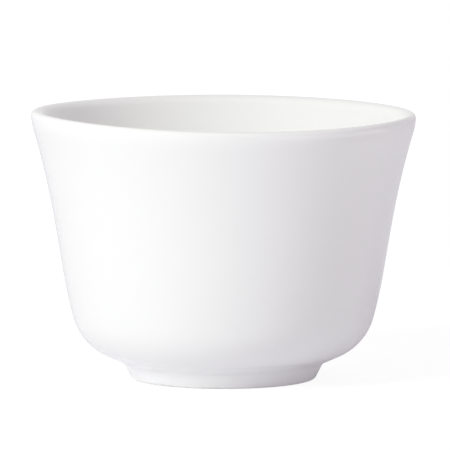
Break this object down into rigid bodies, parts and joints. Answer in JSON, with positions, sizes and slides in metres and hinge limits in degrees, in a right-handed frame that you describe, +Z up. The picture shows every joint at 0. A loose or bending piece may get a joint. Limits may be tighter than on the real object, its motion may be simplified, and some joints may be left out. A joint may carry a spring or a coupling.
{
  "type": "tea cup",
  "caption": "Handleless white porcelain tea cup: a round bowl with a flared wall and rounded lip on a low foot ring, glazed except for the edge it stands on, to hold hot tea.",
  "frame": {"origin": "centre of the foot ring's standing face, on the surface that the cup stands on", "axes": "+Z up along the cup's axis, from the foot to the mouth; the cup is round, so +X and +Y are alike"},
  "size_m": [0.0858, 0.0858, 0.0596],
  "materials": {
    "biscuit": "fired bare porcelain, fine and matt, rubbed smooth where it stands",
    "outer_glaze": "clear gloss glaze over white porcelain",
    "inner_glaze": "clear gloss glaze over white porcelain",
    "base_glaze": "clear gloss glaze over white porcelain"
  },
  "bodies": {
    "root": {"porcelain_body": "biscuit", "outer_glaze": "outer_glaze", "inner_glaze": "inner_glaze", "base_glaze": "base_glaze"}
  },
  "joints": []
}
